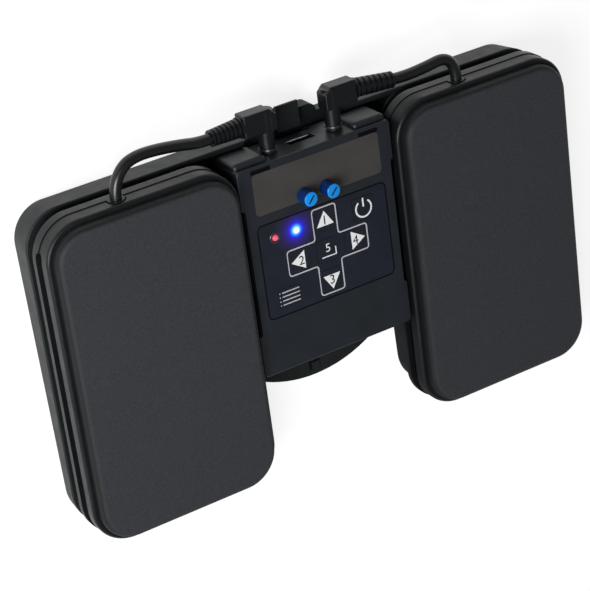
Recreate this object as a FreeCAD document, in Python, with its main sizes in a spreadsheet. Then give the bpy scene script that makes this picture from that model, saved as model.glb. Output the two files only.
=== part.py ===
import FreeCAD, Part
import math
import os
from types import SimpleNamespace
import Sketcher
from FreeCAD import Placement, Rotation, Vector

# Two-pedal foot switch with a docked radio controller.
# The pieces are drawn in the deck frame: X to the right, Y to the rear, Z up from the plane of the
# pad tops. The deck slopes down towards the user, so one placement leans them all over the floor.

# How far one feature runs into the next, how far a cut runs past a surface, and a cut's length
# through the whole object, in millimetres.
JOIN = 0.5
PAST = 5.0
THROUGH = 400.0

DIMS = {
    # the deck over the floor
    "deck_tilt": 2.92,
    "deck_height": 38.46,
    "deck_shift": -5.53,
    # one pedal, seen from above, and what each layer adds to the pad's outline
    "pedal_offset": 87.0,
    "pad_width": 87.8,
    "pad_front": 74.3,
    "pad_back": 74.4,
    "corner_front": 16.0,
    "corner_back": 15.0,
    "shell_out": 2.5,
    "lower_out": 2.9,
    "riser_in": 1.8,
    "wing_out": 2.4,
    "wing_in": 1.5,
    "wing_draft": 2.0,
    "wing_round": 0.8,
    # heights below the plane of the pad tops
    "pad_under": 5.0,
    "slot_top": 10.3,
    "seam": 13.0,
    "slot_bottom": 15.1,
    "lower_under": 19.0,
    "wing_top": 25.1,
    "wing_depth": 18.0,
    # the pedal shells
    "shell_wall": 2.6,
    "roof": 2.4,
    "tray_floor": 2.2,
    "seam_gap": 0.3,
    "shell_round": 1.4,
    "pad_round": 2.8,
    "slot_tip": 65.0,
    "pin_back": 67.0,
    "pin_radius": 1.5,
    "pin_length": 62.0,
    "ear_radius": 3.3,
    "ear_thick": 4.0,
    "lug_side": 24.0,
    "ear_side": 28.4,
    "running_gap": 0.08,
    # the cord's way into a pedal
    "cord_side": -8.0,
    "cord_drop": 11.2,
    "cord_thick": 5.2,
    "gland_radius": 3.8,
    "gland_gap": 0.6,
    # inside a pedal
    "return_size": 9.0,
    "return_back": -20.0,
    "return_side": 26.0,
    "stop_radius": 4.0,
    "stop_tall": 4.6,
    "stop_front": 60.0,
    "stop_side": 28.0,
    "sensor_back": 20.0,
    "sensor_thick": 1.0,
    "reed_radius": 1.0,
    "reed_length": 14.0,
    "magnet_radius": 2.5,
    "magnet_thick": 2.0,
    "magnet_boss": 2.0,
    "magnet_rim": 1.0,
    "sensor_rim": 1.0,
    # the controller's case
    "case_width": 79.2,
    "case_front": 28.3,
    "case_back": 71.5,
    "case_top": 7.5,
    "case_seam": 18.0,
    "case_under": 29.5,
    "case_wall": 2.0,
    "case_inside": 71.2,
    "case_screw_hold": 3.5,
    "case_corner": 2.0,
    "case_round": 0.8,
    "shoulder_top": 10.0,
    "shoulder_under": 26.5,
    "shoulder_back": 73.8,
    "shoulder_inner": 22.5,
    "shoulder_outer": 39.2,
    "shoulder_round": 1.9,
    "grip_front": 8.0,
    "grip_back": 53.0,
    "grip_depth": 1.9,
    "grip_corner": 1.5,
    "case_hollow_corner": 2.0,
    "case_foot_round": 1.0,
    "boss_side": 32.6,
    "boss_front": 22.0,
    "boss_back": 64.0,
    "boss_radius": 3.2,
    "screw_radius": 1.3,
    "screw_head": 2.4,
    "screw_sink": 1.8,
    "screw_room": 0.1,
    "head_tall": 1.4,
    "head_room": 0.3,
    # the controller's face
    "plate_width": 65.4,
    "plate_front": 48.2,
    "plate_back": 68.0,
    "latch_inner": 22.8,
    "latch_outer": 32.8,
    "latch_back": 70.0,
    "sheet_thick": 0.6,
    "overlay_width": 67.3,
    "overlay_front": 2.0,
    "overlay_back": 44.0,
    "face_corner": 3.0,
    "plate_corner": 2.0,
    "plate_gap": 0.1,
    "overlay_gap": 0.2,
    "latch_deep": 1.2,
    "hole_corner": 1.2,
    "key_gap": 0.15,
    "key_pitch": 14.8,
    "key_middle": 21.5,
    "key_width": 10.8,
    "key_rise": 0.1,
    "key_cap": 3.0,
    "key_travel": 0.4,
    "stem_radius": 2.5,
    "power_side": 20.7,
    "power_back": 34.8,
    "menu_side": -21.8,
    "menu_back": 6.5,
    "knob_left": -8.7,
    "knob_right": 3.0,
    "knob_back": 51.2,
    "knob_radius": 3.2,
    "knob_rise": 0.3,
    "knob_slot": 0.9,
    "knob_slot_deep": 1.0,
    "knob_round": 0.5,
    "shaft_radius": 1.5,
    "shaft_length": 5.6,
    "shaft_gap": 0.4,
    "trimmer_bore": 3.0,
    "trimmer_width": 7.0,
    "trimmer_tall": 4.8,
    "led_red": -25.2,
    "led_blue": -14.3,
    "led_back": 36.2,
    "led_radius": 1.6,
    "led_rise": 1.0,
    "led_round": 1.2,
    "led_gap": 0.05,
    # inside the controller
    "board_top": 15.0,
    "board_thick": 1.6,
    "board_width": 58.0,
    "board_front": 24.0,
    "board_back": 57.5,
    "battery_width": 34.0,
    "battery_front": 10.0,
    "battery_back": 44.0,
    "battery_thick": 5.2,
    "jack_side": 17.0,
    "jack_drop": 18.0,
    "jack_width": 8.0,
    "jack_nose": 3.1,
    "jack_out": 72.4,
    "bore_radius": 1.8,
    "bore_depth": 14.6,
    "usb_front": 56.0,
    "usb_back": 70.8,
    "usb_width": 13.1,
    "usb_tall": 5.5,
    "usb_metal": 0.4,
    "usb_tongue": 1.8,
    # the dock between the pedals
    "disc_radius": 63.0,
    "disc_back": 12.1,
    "disc_top": 33.3,
    "disc_under": 42.0,
    "rail_front": 20.0,
    "rail_back": 44.0,
    "rail_neck": 14.0,
    "rail_head": 20.0,
    "rail_step": 28.1,
    "rail_top": 26.7,
    "dock_gap": 0.3,
    "tail_width": 36.0,
    "tail_back": 79.8,
    "tail_front_corner": 1.0,
    "tail_back_corner": 4.0,
    "base_front": 40.0,
    "bar_front": 74.2,
    "bar_root": 62.0,
    "bar_end": 22.7,
    "bar_slant": 0.88,
    "stop_block": 11.4,
    "stop_block_front": 74.0,
    "stop_block_foot": 79.6,
    "stop_block_back": 86.0,
    "stop_block_lip": 28.3,
    "stop_block_top": 27.0,
    "catch_front": 46.0,
    "catch_size": 4.0,
    "catch_slit": 0.8,
    "catch_lever": 12.0,
    "catch_rise": 1.2,
    "channel_wall": 2.1,
    "channel_side": 3.0,
    # plugs on the ends of the cords
    "pin_tip": 13.6,
    "plug_pin_radius": 1.75,
    "collar_front": 72.8,
    "collar_thick": 0.7,
    "collar_rim": 0.2,
    "barrel_radius": 3.7,
    "block_front": 81.4,
    "block_back": 92.0,
    "block_half": 4.0,
    "block_inner": 12.6,
    "block_outer": 29.0,
    "block_chamfer": 3.0,
    "block_round": 0.8,
    "hub_radius": 4.3,
    "hub_back": 91.0,
    "relief_axis": 86.6,
    "relief_root": 1.2,
    "relief_flange": 4.7,
    "relief_radius": 4.4,
    "relief_end": 3.8,
    "relief_rib": 0.7,
    "left_relief_side": -44.6,
    "left_relief_back": 86.6,
    "left_relief_drop": 16.9,
    "right_relief_side": 48.4,
    "right_relief_back": 85.2,
    "right_relief_drop": 16.4,
    # feet and screws under the board
    "foot_radius": 7.0,
    "foot_tall": 1.5,
    "foot_side": 31.0,
    "foot_back": 60.0,
    "wing_screw_side": 22.0,
    "wing_screw_back": 44.0,
    "wing_screw_top": 18.2,
}


class Size:
    """A length together with the spreadsheet expression that drives it."""

    def __init__(self, value, text):
        self.value = float(value)
        self.text = text

    def __add__(self, other):
        other = as_size(other)
        return Size(self.value + other.value, "(%s + %s)" % (self.text, other.text))

    def __radd__(self, other):
        return as_size(other) + self

    def __sub__(self, other):
        other = as_size(other)
        return Size(self.value - other.value, "(%s - %s)" % (self.text, other.text))

    def __rsub__(self, other):
        return as_size(other) - self

    def __mul__(self, other):
        other = as_size(other)
        return Size(self.value * other.value, "(%s * %s)" % (self.text, other.text))

    def __rmul__(self, other):
        return as_size(other) * self

    def __truediv__(self, other):
        other = as_size(other)
        return Size(self.value / other.value, "(%s / %s)" % (self.text, other.text))

    def __neg__(self):
        return 0 - self


def as_size(number):
    if isinstance(number, Size):
        return number
    return Size(number, "(%.6f)" % number)


def make_sheet():
    """The driving dimensions as aliased cells, returned by name."""
    sheet = doc.addObject("Spreadsheet::Sheet", "dims")
    for row, (word, number) in enumerate(DIMS.items(), start=1):
        sheet.set("A%d" % row, word)
        sheet.set("B%d" % row, str(number))
        sheet.setAlias("B%d" % row, word)
    doc.recompute()
    return SimpleNamespace(**{word: Size(number, "dims." + word) for word, number in DIMS.items()})


def new_body(label, across=0, on_deck=True):
    """An empty body that stands on the sloping deck, or level on the floor."""
    body = doc.addObject("PartDesign::Body", label)
    body.Label = label
    across = as_size(across)
    if on_deck:
        base = Vector(across.value, d.deck_shift.value, d.deck_height.value)
        body.Placement = Placement(base, Rotation(Vector(1, 0, 0), d.deck_tilt.value))
        body.setExpression("Placement.Base.y", d.deck_shift.text)
        body.setExpression("Placement.Base.z", d.deck_height.text)
        body.setExpression("Placement.Rotation.Angle", d.deck_tilt.text)
    body.setExpression("Placement.Base.x", across.text)
    nodes.append(body)
    return body


def new_sketch(body, name, plane="XY_Plane", level=0):
    """A sketch on one of the body's own planes, moved along that plane's normal."""
    level = as_size(level)
    sketch = body.newObject("Sketcher::SketchObject", body.Label + "_" + name)
    origin = next(each for each in body.Origin.OriginFeatures if each.Role == plane)
    sketch.AttachmentSupport = [(origin, "")]
    sketch.MapMode = "FlatFace"
    sketch.AttachmentOffset = Placement(Vector(0, 0, level.value), Rotation())
    sketch.setExpression("AttachmentOffset.Base.z", level.text)
    return sketch


def hold(sketch, kind, elements, size):
    """One dimension of a sketch, driven from the sheet."""
    size = as_size(size)
    index = sketch.addConstraint(Sketcher.Constraint(kind, *elements, size.value))
    sketch.setExpression("Constraints[%d]" % index, size.text)


def place(sketch, line, end, across, up):
    """Hold one end or centre of an element at a place measured from the sketch's origin."""
    hold(sketch, "DistanceX", (-1, 1, line, end), across)
    hold(sketch, "DistanceY", (-1, 1, line, end), up)


def polygon(sketch, points):
    """A closed outline of straight lines through points of two sizes each."""
    points = [(as_size(x), as_size(y)) for x, y in points]
    first = sketch.GeometryCount
    for (x0, y0), (x1, y1) in zip(points, points[1:] + points[:1]):
        start = Vector(x0.value, y0.value, 0)
        finish = Vector(x1.value, y1.value, 0)
        sketch.addGeometry(Part.LineSegment(start, finish), False)
    count = len(points)
    for step in range(count):
        following = first + (step + 1) % count
        sketch.addConstraint(Sketcher.Constraint("Coincident", first + step, 2, following, 1))
    for step, (x, y) in enumerate(points):
        place(sketch, first + step, 1, x, y)


def rectangle(sketch, left, right, front, back):
    polygon(sketch, [(left, front), (right, front), (right, back), (left, back)])


def circle(sketch, across, up, radius):
    across, up, radius = as_size(across), as_size(up), as_size(radius)
    centre = Vector(across.value, up.value, 0)
    index = sketch.addGeometry(Part.Circle(centre, Vector(0, 0, 1), radius.value), False)
    hold(sketch, "Radius", (index,), radius)
    place(sketch, index, 3, across, up)


def rounded(sketch, left, right, front, back, front_radius, back_radius):
    """A rectangle whose two front corners and two rear corners are arcs tangent to its sides."""
    left, right, front, back = as_size(left), as_size(right), as_size(front), as_size(back)
    front_radius, back_radius = as_size(front_radius), as_size(back_radius)
    west, east, south, north = left.value, right.value, front.value, back.value
    near, far = front_radius.value, back_radius.value
    corners = [
        (east - near, south + near, near, -90),
        (east - far, north - far, far, 0),
        (west + far, north - far, far, 90),
        (west + near, south + near, near, 180),
    ]
    sides = [
        (Vector(west + near, south, 0), Vector(east - near, south, 0)),
        (Vector(east, south + near, 0), Vector(east, north - far, 0)),
        (Vector(east - far, north, 0), Vector(west + far, north, 0)),
        (Vector(west, north - far, 0), Vector(west, south + near, 0)),
    ]
    first = sketch.GeometryCount
    for (start, finish), (x, y, radius, angle) in zip(sides, corners):
        sketch.addGeometry(Part.LineSegment(start, finish), False)
        turn = Part.Circle(Vector(x, y, 0), Vector(0, 0, 1), radius)
        arc = Part.ArcOfCircle(turn, math.radians(angle), math.radians(angle + 90))
        sketch.addGeometry(arc, False)
    for step in range(8):
        following = first + (step + 1) % 8
        sketch.addConstraint(Sketcher.Constraint("Tangent", first + step, 2, following, 1))
    for side, kind in enumerate(("Horizontal", "Vertical", "Horizontal", "Vertical")):
        sketch.addConstraint(Sketcher.Constraint(kind, first + 2 * side))
    sketch.addConstraint(Sketcher.Constraint("Equal", first + 1, first + 7))
    sketch.addConstraint(Sketcher.Constraint("Equal", first + 3, first + 5))
    hold(sketch, "Radius", (first + 1,), front_radius)
    hold(sketch, "Radius", (first + 3,), back_radius)
    hold(sketch, "DistanceY", (-1, 1, first, 1), front)
    hold(sketch, "DistanceX", (-1, 1, first + 2, 1), right)
    hold(sketch, "DistanceY", (-1, 1, first + 4, 1), back)
    hold(sketch, "DistanceX", (-1, 1, first + 6, 1), left)


def pad(body, sketch, length, both_ways=False, against=False):
    """Grow a sketch along its plane's normal, or against it."""
    length = as_size(length)
    feature = body.newObject("PartDesign::Pad", sketch.Label + "_pad")
    feature.Profile = sketch
    feature.Length = length.value
    feature.setExpression("Length", length.text)
    feature.Midplane = both_ways
    feature.Reversed = against
    doc.recompute()
    return feature


def pocket(body, sketch, depth, both_ways=False, along=False):
    """Cut a sketch into the body against its plane's normal, or along it."""
    depth = as_size(depth)
    before = body.Shape.Volume
    feature = body.newObject("PartDesign::Pocket", sketch.Label + "_pocket")
    feature.Profile = sketch
    feature.Length = depth.value
    feature.setExpression("Length", depth.text)
    feature.Midplane = both_ways
    feature.Reversed = along
    doc.recompute()
    if not body.Shape.Volume < before - 0.01:
        raise ValueError("%s cuts nothing" % feature.Label)
    return feature


def level_edges(shape, height, room=0.01):
    """The names of the edges that lie at one height."""
    names = []
    for index, edge in enumerate(shape.Edges, start=1):
        box = edge.BoundBox
        if abs(box.ZMin - height) < room and abs(box.ZMax - height) < room:
            names.append("Edge%d" % index)
    return names


def fillet(body, name, radius, edges):
    radius = as_size(radius)
    base = body.Tip
    feature = body.newObject("PartDesign::Fillet", body.Label + "_" + name)
    feature.Base = (base, edges)
    feature.Radius = radius.value
    feature.setExpression("Radius", radius.text)
    doc.recompute()
    return feature


def pedal_outline(sketch, out):
    """The outline that all layers of a pedal share, a little larger or smaller than the pad."""
    half = d.pad_width / 2 + out
    front_radius = d.corner_front + out
    back_radius = d.corner_back + out
    rounded(sketch, -half, half, -d.pad_front - out, d.pad_back + out, front_radius, back_radius)


def slot_cut(body):
    """Open the slot between the shells from the front to its round end by the hinge."""
    sketch = new_sketch(body, "slot", "YZ_Plane")
    radius = (d.slot_bottom - d.slot_top) / 2 - 0.01
    beyond = -d.pad_front - 4 * PAST
    rounded(sketch, beyond, d.slot_tip, -d.slot_bottom, -d.slot_top, radius, radius)
    pocket(body, sketch, THROUGH, both_ways=True)


def hinge_plates(body, side, top, bottom):
    """Two plates of one pedal shell that carry the hinge pin, one at each side."""
    for sign in (-1, 1):
        sketch = new_sketch(body, "plate_%s" % ("left" if sign < 0 else "right"), "YZ_Plane",
                            sign * side)
        front = d.pin_back - d.ear_radius
        back = d.pin_back + d.ear_radius
        rectangle(sketch, front, back, bottom, top)
        pad(body, sketch, d.ear_thick, both_ways=True)
        tip = new_sketch(body, "eye_%s" % ("left" if sign < 0 else "right"), "YZ_Plane",
                         sign * side)
        circle(tip, d.pin_back, -d.seam, d.ear_radius)
        pad(body, tip, d.ear_thick, both_ways=True)


def pin_hole(body, radius):
    sketch = new_sketch(body, "pin_hole", "YZ_Plane")
    circle(sketch, d.pin_back, -d.seam, radius)
    pocket(body, sketch, 2 * d.ear_side + 2 * d.ear_thick, both_ways=True)


def upper_shell(name, across):
    """The moving lid of a pedal: roof, rim, hinge ears and the notch over the cord's gland."""
    body = new_body(name + "_upper_shell", across)
    outline = new_sketch(body, "outline", level=-d.pad_under)
    pedal_outline(outline, d.shell_out)
    pad(body, outline, d.seam - d.seam_gap / 2 - d.pad_under, against=True)
    fillet(body, "edge", d.shell_round, level_edges(body.Tip.Shape, -d.pad_under.value))
    inside = new_sketch(body, "inside", level=-d.pad_under - d.roof)
    pedal_outline(inside, d.shell_out - d.shell_wall)
    pocket(body, inside, d.seam)
    slot_cut(body)
    hinge_plates(body, d.ear_side, -d.pad_under - d.roof + JOIN, -d.seam)
    pin_hole(body, d.pin_radius + d.running_gap)
    boss = new_sketch(body, "magnet_boss", level=-d.pad_under - d.roof + JOIN)
    circle(boss, 0, d.sensor_back, d.magnet_radius + d.magnet_rim)
    pad(body, boss, d.magnet_boss + JOIN, against=True)
    notch = new_sketch(body, "notch", "XZ_Plane", -d.pin_back - PAST)
    opening = d.gland_radius + d.gland_gap
    sides = (d.cord_side - opening, d.cord_side + opening)
    rectangle(notch, sides[0], sides[1], -d.seam - PAST, -d.cord_drop)
    pocket(body, notch, 4 * PAST)
    arch = new_sketch(body, "arch", "XZ_Plane", -d.pin_back - PAST)
    circle(arch, d.cord_side, -d.cord_drop, opening)
    pocket(body, arch, 4 * PAST)


def lower_shell(name, across):
    """The tray under a pedal's lid: floor, rim, pin lugs, posts and the cord's gland."""
    body = new_body(name + "_lower_shell", across)
    outline = new_sketch(body, "outline", level=-d.lower_under)
    pedal_outline(outline, d.lower_out)
    pad(body, outline, d.lower_under - d.seam - d.seam_gap / 2)
    fillet(body, "edge", d.shell_round, level_edges(body.Tip.Shape, -d.lower_under.value))
    inside = new_sketch(body, "inside", level=-d.lower_under + d.tray_floor)
    pedal_outline(inside, d.lower_out - d.shell_wall)
    pocket(body, inside, d.seam, along=True)
    slot_cut(body)
    tray = -d.lower_under + d.tray_floor - JOIN
    hinge_plates(body, d.lug_side, -d.seam, tray)
    pin_hole(body, d.pin_radius)
    wall_back = d.pad_back + d.lower_out
    depth = d.shell_wall + 4 * JOIN
    post = new_sketch(body, "gland_post", "XZ_Plane", -wall_back)
    sides = (d.cord_side - d.gland_radius, d.cord_side + d.gland_radius)
    rectangle(post, sides[0], sides[1], tray, -d.cord_drop)
    pad(body, post, depth)
    head = new_sketch(body, "gland_head", "XZ_Plane", -wall_back)
    circle(head, d.cord_side, -d.cord_drop, d.gland_radius)
    pad(body, head, depth)
    wing_screw_holes(body, "screw_threads", -d.wing_screw_top, 0, d.screw_radius)


def tread_pad(name, across):
    """The soft-edged rubber pad that the foot presses."""
    body = new_body(name + "_pad", across)
    outline = new_sketch(body, "outline", level=-d.pad_under)
    pedal_outline(outline, 0)
    pad(body, outline, d.pad_under)
    fillet(body, "edge", d.pad_round, level_edges(body.Tip.Shape, 0))


def pedal_inside(name, across):
    """Hinge pin, rubber return blocks and stops, and the magnet over its reed switch."""
    tray = -d.lower_under + d.tray_floor
    roof = -d.pad_under - d.roof

    body = new_body(name + "_hinge_pin", across)
    section = new_sketch(body, "section", "YZ_Plane")
    circle(section, d.pin_back, -d.seam, d.pin_radius)
    pad(body, section, d.pin_length, both_ways=True)

    body = new_body(name + "_return_blocks", across)
    section = new_sketch(body, "section", level=tray)
    for sign in (-1, 1):
        middle = sign * d.return_side
        half = d.return_size / 2
        rectangle(section, middle - half, middle + half, d.return_back - half, d.return_back + half)
    pad(body, section, roof - tray)

    body = new_body(name + "_stops", across)
    section = new_sketch(body, "section", level=tray)
    for sign in (-1, 1):
        circle(section, sign * d.stop_side, -d.stop_front, d.stop_radius)
    pad(body, section, d.stop_tall)

    body = new_body(name + "_sensor_board", across)
    section = new_sketch(body, "section", level=tray)
    half = d.reed_length / 2 + d.sensor_rim
    rectangle(section, -half, half, d.sensor_back - half, d.sensor_back + half)
    pad(body, section, d.sensor_thick)

    body = new_body(name + "_reed_switch", across)
    section = new_sketch(body, "section", "YZ_Plane")
    circle(section, d.sensor_back, tray + d.sensor_thick + d.reed_radius, d.reed_radius)
    pad(body, section, d.reed_length, both_ways=True)

    body = new_body(name + "_magnet", across)
    section = new_sketch(body, "section", level=roof - d.magnet_boss)
    circle(section, 0, d.sensor_back, d.magnet_radius)
    pad(body, section, d.magnet_thick, against=True)


def riser(name, across):
    """The narrower mounting block that leaves the dark gap under a pedal."""
    body = new_body(name + "_riser", across)
    outline = new_sketch(body, "outline", level=-d.wing_top)
    pedal_outline(outline, -d.riser_in)
    pad(body, outline, d.wing_top - d.lower_under)
    wing_screw_holes(body, "screw_holes", -d.lower_under, 0, d.screw_radius + d.screw_room)


def wing_screw_holes(body, name, level, across, radius):
    """Four holes, from one level down, for the screws that come up through the board."""
    sketch = new_sketch(body, name, level=level)
    for side in (-1, 1):
        for back in (-1, 1):
            circle(sketch, across + side * d.wing_screw_side, back * d.wing_screw_back, radius)
    pocket(body, sketch, THROUGH)


def underside(back):
    """The height of the board's flat underside at a place along the sloping deck."""
    lean = math.radians(d.deck_tilt.value)
    return (d.foot_tall - d.deck_height - back * math.sin(lean)) / math.cos(lean)


def board():
    """The board: a wing under each pedal, the round dock plate between them and its rail."""
    body = new_body("board")
    disc = new_sketch(body, "disc", level=-d.disc_under)
    circle(disc, 0, d.disc_back, d.disc_radius)
    pad(body, disc, d.disc_under - d.disc_top)
    tail = new_sketch(body, "tail", level=-d.disc_under)
    half = d.tail_width / 2
    rounded(tail, -half, half, d.disc_back, d.tail_back, d.tail_front_corner, d.tail_back_corner)
    pad(body, tail, d.disc_under - d.disc_top)
    for sign in (-1, 1):
        half = d.pad_width / 2
        sections = []
        for name, level, draft in (("top", d.wing_top, as_size(0)),
                                   ("low", d.wing_top + d.wing_depth, d.wing_draft)):
            label = "%s_%s" % (name, "left" if sign < 0 else "right")
            sketch = new_sketch(body, label, level=-level)
            out = d.wing_out - draft
            inner = d.pedal_offset - half + d.wing_in + draft
            outer = d.pedal_offset + half + out
            left, right = (-outer, -inner) if sign < 0 else (inner, outer)
            rounded(sketch, left, right, -d.pad_front - out, d.pad_back + out,
                    d.corner_front + out, d.corner_back + out)
            sections.append(sketch)
        loft = body.newObject("PartDesign::AdditiveLoft", sections[0].Label + "_loft")
        loft.Profile = sections[0]
        loft.Sections = sections[1:]
        loft.Ruled = True
        doc.recompute()
    rear_bars(body)
    under = new_sketch(body, "underside", "YZ_Plane")
    front, back = as_size(-THROUGH / 2), as_size(THROUGH / 2)
    polygon(under, [(front, -THROUGH / 2), (back, -THROUGH / 2), (back, underside(back)),
                    (front, underside(front))])
    pocket(body, under, THROUGH, both_ways=True)
    top_edges = level_edges(body.Tip.Shape, -d.wing_top.value)
    fillet(body, "wing_edge", d.wing_round, top_edges)
    neck = new_sketch(body, "rail_neck", level=-d.disc_top)
    rectangle(neck, -d.rail_neck / 2, d.rail_neck / 2, -d.rail_front, d.rail_back)
    pad(body, neck, d.disc_top - d.rail_step + JOIN)
    head = new_sketch(body, "rail_head", level=-d.rail_step)
    rectangle(head, -d.rail_head / 2, d.rail_head / 2, -d.rail_front, d.rail_back)
    pad(body, head, d.rail_step - d.rail_top)
    block = new_sketch(body, "stop_block", "YZ_Plane")
    polygon(block, [(d.stop_block_front, -d.disc_top), (d.stop_block_foot, -d.disc_top),
                    (d.stop_block_back, -d.stop_block_lip), (d.stop_block_back, -d.stop_block_top),
                    (d.stop_block_front, -d.stop_block_top)])
    pad(body, block, d.stop_block, both_ways=True)
    lever = new_sketch(body, "catch_slot", level=-d.disc_top)
    inner = d.catch_size / 2
    outer = inner + d.catch_slit
    for left, right in ((-outer, -inner), (inner, outer)):
        rectangle(lever, left, right, -d.catch_front - inner, -d.catch_front + d.catch_lever)
    pocket(body, lever, THROUGH)
    bump = new_sketch(body, "catch_bump", level=-d.disc_top)
    rectangle(bump, -inner, inner, -d.catch_front - inner, -d.catch_front + inner)
    pad(body, bump, d.catch_rise)
    for word, sign in (("left", -1), ("right", 1)):
        wing_screw_holes(body, "screw_holes_" + word, -d.wing_top, sign * d.pedal_offset,
                         d.screw_radius + d.screw_room)


def rear_bars(body):
    """The base behind the disc, and the low bars that carry on the rear walls of the wings."""
    low = d.wing_top + d.wing_depth
    back = d.pad_back + d.wing_out
    foot = d.bar_front - d.wing_draft * ((d.disc_top - d.wing_top) / d.wing_depth)
    section = new_sketch(body, "rear_section", "YZ_Plane")
    polygon(section, [(d.bar_front, -d.wing_top), (back, -d.wing_top),
                      (back - d.wing_draft, -low), (d.base_front, -low),
                      (d.base_front, -d.disc_top), (foot, -d.disc_top)])
    pad(body, section, 2 * d.bar_root, both_ways=True)
    opening = new_sketch(body, "rear_opening", level=-d.disc_top)
    near, far = foot - 1, back + 1
    near_side = d.bar_end + d.bar_slant * (back - near)
    far_side = d.bar_end + d.bar_slant * (back - far)
    polygon(opening, [(-near_side, near), (near_side, near), (far_side, far), (-far_side, far)])
    pocket(body, opening, d.disc_top - d.wing_top + 1, along=True)


def board_feet():
    """Eight round rubber feet, flat on the floor under the wings."""
    body = new_body("rubber_feet", on_deck=False)
    sketch = new_sketch(body, "rounds")
    for wing in (-1, 1):
        for side in (-1, 1):
            for back in (-1, 1):
                circle(sketch, wing * d.pedal_offset + side * d.foot_side,
                       d.deck_shift + back * d.foot_back, d.foot_radius)
    pad(body, sketch, d.foot_tall)


def board_screws():
    """The long screws that hold both pedals on the board, in from below."""
    body = new_body("board_screws")
    for back in (-1, 1):
        row = "front" if back < 0 else "rear"
        place_back = back * d.wing_screw_back
        head_top = underside(place_back) + d.screw_sink
        heads = new_sketch(body, "heads_" + row, level=head_top)
        shanks = new_sketch(body, "shanks_" + row, level=head_top)
        for wing in (-1, 1):
            for side in (-1, 1):
                across = wing * d.pedal_offset + side * d.wing_screw_side
                circle(heads, across, place_back, d.screw_head)
                circle(shanks, across, place_back, d.screw_radius)
        pad(body, heads, d.head_tall, against=True)
        pad(body, shanks, -d.wing_screw_top - head_top)


def screw_sinks(board_body):
    """Round recesses for the heads of the board's screws."""
    for back in (-1, 1):
        place_back = back * d.wing_screw_back
        sketch = new_sketch(board_body, "sinks_%s" % ("front" if back < 0 else "rear"),
                            level=underside(place_back) + d.screw_sink)
        for wing in (-1, 1):
            for side in (-1, 1):
                across = wing * d.pedal_offset + side * d.wing_screw_side
                circle(sketch, across, place_back, d.screw_head + d.head_room)
        pocket(board_body, sketch, THROUGH)


def case_half(name, top, under):
    """One half of the controller's case with the shoulders beside the sockets, still solid."""
    body = new_body(name)
    half = d.case_width / 2
    outline = new_sketch(body, "outline", level=-under)
    rounded(outline, -half, half, -d.case_front, d.case_back, d.case_corner, d.case_corner)
    pad(body, outline, under - top)
    return body


def add_shoulders(body, top, under):
    for sign in (-1, 1):
        word = "left" if sign < 0 else "right"
        sketch = new_sketch(body, "shoulder_" + word, level=-under)
        inner, outer = d.shoulder_inner, d.shoulder_outer
        left, right = (-outer, -inner) if sign < 0 else (inner, outer)
        rounded(sketch, left, right, d.case_back - PAST, d.shoulder_back, 2 * JOIN,
                d.shoulder_round)
        pad(body, sketch, under - top)


def cut_grips(body, level, depth):
    """The long finger recesses in the sides of the case."""
    half = d.case_width / 2
    for sign in (-1, 1):
        word = "left" if sign < 0 else "right"
        sketch = new_sketch(body, "grip_" + word, level=-level)
        inner, outer = half - d.grip_depth, half + PAST
        left, right = (-outer, -inner) if sign < 0 else (inner, outer)
        rounded(sketch, left, right, -d.grip_front, d.grip_back, d.grip_corner, d.grip_corner)
        pocket(body, sketch, depth)


def hollow(body, level, depth, along):
    sketch = new_sketch(body, "inside", level=-level)
    half = d.case_inside / 2
    corner = d.case_hollow_corner
    rounded(sketch, -half, half, -d.case_front + d.case_wall, d.case_back - d.case_wall,
            corner, corner)
    pocket(body, sketch, depth, along=along)


def bosses(body, level, height, against):
    sketch = new_sketch(body, "bosses", level=-level)
    for side in (-1, 1):
        for back in (-d.boss_front, d.boss_back):
            circle(sketch, side * d.boss_side, back, d.boss_radius)
    pad(body, sketch, height, against=against)


def screw_bores(body, name, level, depth, radius, along=False):
    sketch = new_sketch(body, name, level=-level)
    for side in (-1, 1):
        for back in (-d.boss_front, d.boss_back):
            circle(sketch, side * d.boss_side, back, radius)
    pocket(body, sketch, depth, along=along)


def rear_holes(body):
    """The round holes for the jack sockets and the wide one for the data socket."""
    sketch = new_sketch(body, "rear_holes", "XZ_Plane", -d.case_back + PAST)
    for sign in (-1, 1):
        circle(sketch, sign * d.jack_side, -d.jack_drop, d.jack_nose)
    top = d.board_top + d.board_thick
    half = d.usb_width / 2
    rectangle(sketch, -half, half, -top - d.usb_tall, -top)
    pocket(body, sketch, 2 * PAST)


def face_places():
    """Where each key lies on the face, with its name and its width and depth."""
    middle, pitch, width = d.key_middle, d.key_pitch, d.key_width
    return [
        ("key_1", as_size(0), middle + pitch, width, width),
        ("key_2", -pitch, middle, width, width),
        ("key_3", as_size(0), middle - pitch, width, width),
        ("key_4", pitch, middle, width, width),
        ("key_5", as_size(0), middle, width, width),
        ("key_power", d.power_side, d.power_back, width, width),
        ("key_menu", d.menu_side, d.menu_back, width, width - 2),
    ]


def face_holes(body, level, depth):
    """The square key holes, shaft holes and lamp holes through the face."""
    sketch = new_sketch(body, "key_holes", level=-level)
    for name, across, back, width, deep in face_places():
        half, rise = width / 2 + d.key_gap, deep / 2 + d.key_gap
        rounded(sketch, across - half, across + half, back - rise, back + rise,
                d.hole_corner, d.hole_corner)
    for lamp in (d.led_red, d.led_blue):
        circle(sketch, lamp, d.led_back, d.led_radius + d.led_gap)
    pocket(body, sketch, depth)


def shaft_holes(body, level, depth):
    sketch = new_sketch(body, "shaft_holes", level=-level)
    for across in (d.knob_left, d.knob_right):
        circle(sketch, across, d.knob_back, d.shaft_radius + d.shaft_gap)
    pocket(body, sketch, depth)


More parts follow.
